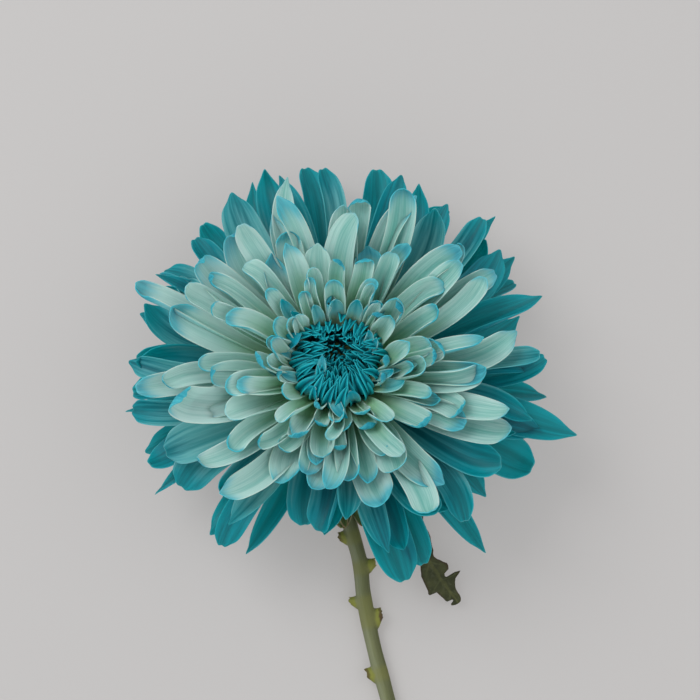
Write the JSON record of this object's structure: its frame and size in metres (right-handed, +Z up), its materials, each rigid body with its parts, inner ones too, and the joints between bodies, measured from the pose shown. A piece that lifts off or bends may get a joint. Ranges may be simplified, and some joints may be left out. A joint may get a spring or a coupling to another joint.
{
  "type": "tinted cremon chrysanthemum",
  "caption": "Single cut chrysanthemum with dyed blue petals, lying face up on its lower petals and its bare green stem.",
  "frame": {"origin": "middle of the bounding box, on the surface that the flower lies on", "axes": "+Z up from the surface, +Y from the cut end of the stem towards the top of the bloom's face"},
  "size_m": [0.1386, 0.236, 0.0654],
  "materials": {
    "centre_florets": "satin, dyed petal",
    "pale_rays": "satin, pale petal with dyed tips",
    "teal_rays": "satin, dyed petal",
    "bracts": "matt, green bracts",
    "stem": "matt, green stem",
    "leaf": "matt, dark withered leaf"
  },
  "bodies": {
    "root": {"centre_florets": "centre_florets", "inner_rays": "pale_rays", "middle_rays": "pale_rays", "outer_rays": "teal_rays", "bract_cup": "bracts", "stem": "stem", "leaf": "leaf"}
  },
  "joints": []
}
